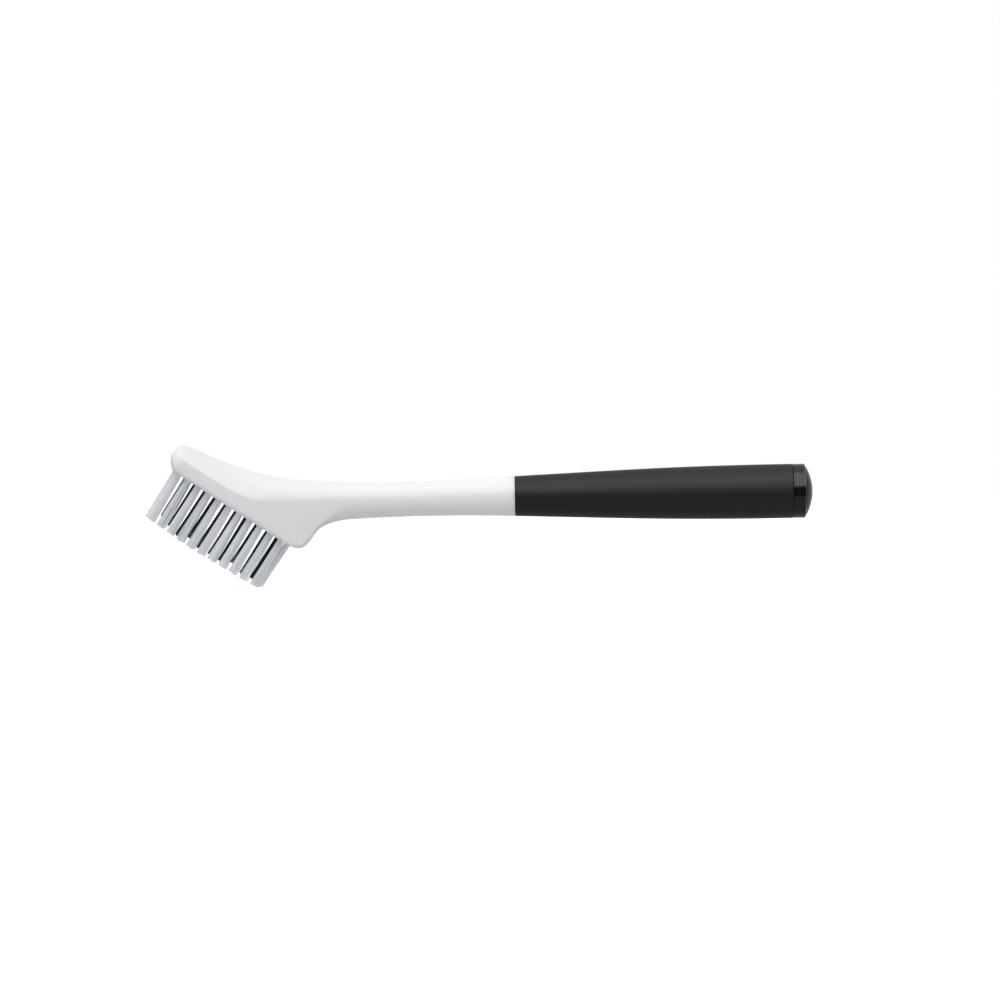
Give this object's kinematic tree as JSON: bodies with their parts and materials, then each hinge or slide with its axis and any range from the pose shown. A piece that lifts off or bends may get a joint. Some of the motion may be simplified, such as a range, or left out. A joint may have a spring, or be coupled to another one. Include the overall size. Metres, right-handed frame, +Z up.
{
  "type": "dish wand",
  "caption": "Long-handled dish brush with a sloping head of pale and dark bristle tufts and a hollow soft-grip handle that a screw cap closes.",
  "frame": {"origin": "middle of the wand's length and width, at the level of its lowest bristle tips", "axes": "+X along the level handle towards the screw cap, +Y across the wand to the side away from the picture, +Z up; the bristles point down towards -X"},
  "size_m": [0.2737, 0.0222, 0.0586],
  "materials": {
    "white_plastic": "satin white polypropylene",
    "soft_grip": "matt black soft-touch rubber",
    "gloss_cap": "glossy black",
    "satin_dome": "satin black",
    "seal_rubber": "dark rubber",
    "pale_bristle": "frosted pale filament",
    "dark_bristle": "black filament"
  },
  "bodies": {
    "wand": {"handle_body": "white_plastic", "grip_sleeve": "soft_grip", "tuft_front_01": "pale_bristle", "tuft_front_02": "pale_bristle", "tuft_front_03": "pale_bristle", "tuft_front_04": "pale_bristle", "tuft_front_05": "pale_bristle", "tuft_front_06": "pale_bristle", "tuft_front_07": "pale_bristle", "tuft_front_08": "pale_bristle", "tuft_front_09": "pale_bristle", "tuft_front_10": "pale_bristle", "tuft_front_11": "pale_bristle", "tuft_back_01": "pale_bristle", "tuft_back_02": "pale_bristle", "tuft_back_03": "pale_bristle", "tuft_back_04": "pale_bristle", "tuft_back_05": "pale_bristle", "tuft_back_06": "pale_bristle", "tuft_back_07": "pale_bristle", "tuft_back_08": "pale_bristle", "tuft_back_09": "pale_bristle", "tuft_back_10": "pale_bristle", "tuft_back_11": "pale_bristle", "tuft_toe": "pale_bristle", "tuft_inner_01": "dark_bristle", "tuft_inner_02": "dark_bristle", "tuft_inner_03": "dark_bristle", "tuft_inner_04": "dark_bristle", "tuft_inner_05": "dark_bristle", "tuft_inner_06": "dark_bristle", "tuft_inner_07": "dark_bristle", "tuft_inner_08": "dark_bristle", "tuft_inner_09": "dark_bristle", "tuft_inner_10": "dark_bristle", "tuft_heel": "pale_bristle"},
    "cap_carriage": {"cap_seal": "seal_rubber"},
    "cap": {"fill_cap": "gloss_cap", "cap_dome": "satin_dome"}
  },
  "joints": [
    {"name": "cap_travel", "type": "slide", "parent": "wand", "child": "cap_carriage", "axis": [1, 0, 0], "range_m": [0, 0.015]},
    {"name": "cap_turn", "type": "hinge", "parent": "cap_carriage", "child": "cap", "pos_m": [0.12928, 0, 0.03538], "axis": [1, 0, 0], "range_deg": [0, 1080]}
  ],
  "couplings": [
    {"joint": "cap_turn", "follows": "cap_travel", "rad_per_m": 1256.6}
  ]
}
